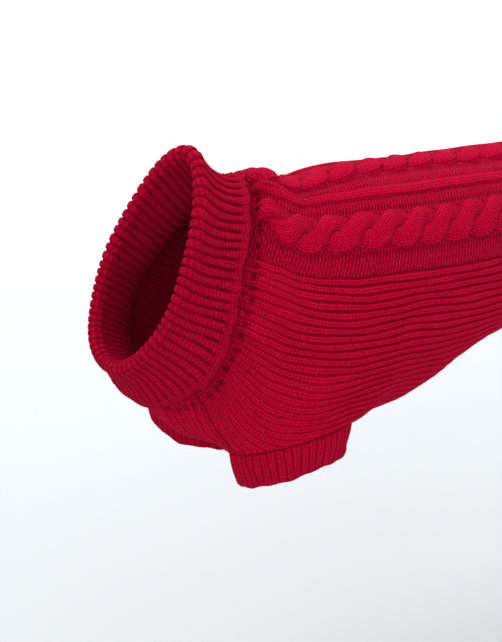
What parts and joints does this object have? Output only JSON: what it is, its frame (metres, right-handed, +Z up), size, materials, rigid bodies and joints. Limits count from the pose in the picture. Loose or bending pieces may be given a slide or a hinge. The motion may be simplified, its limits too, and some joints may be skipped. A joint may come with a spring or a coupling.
{
  "type": "dog sweater",
  "caption": "Hollow worn-form dog pullover in chunky red knit: folded ribbed collar, cabled back, ribbed sides, two short ribbed leg cuffs and a ribbed hem band.",
  "frame": {"origin": "the inner face of the back panel on the spine at the withers, just behind the collar, where the wearer's back carries the garment", "axes": "+X towards the tail, +Y towards the wearer's right, +Z up"},
  "size_m": [0.4742, 0.1376, 0.2028],
  "materials": {
    "body_knit": "matte acrylic yarn with a faint pink fuzz",
    "collar_rib": "matte acrylic yarn, deep two by two rib",
    "cuff_rib": "matte acrylic yarn, one by one rib",
    "hem_rib": "matte acrylic yarn, two by two rib"
  },
  "bodies": {
    "root": {"back_panel": "body_knit", "chest_panel": "body_knit", "collar": "collar_rib", "cuff_left": "cuff_rib", "cuff_right": "cuff_rib", "hem_band": "hem_rib"}
  },
  "joints": []
}
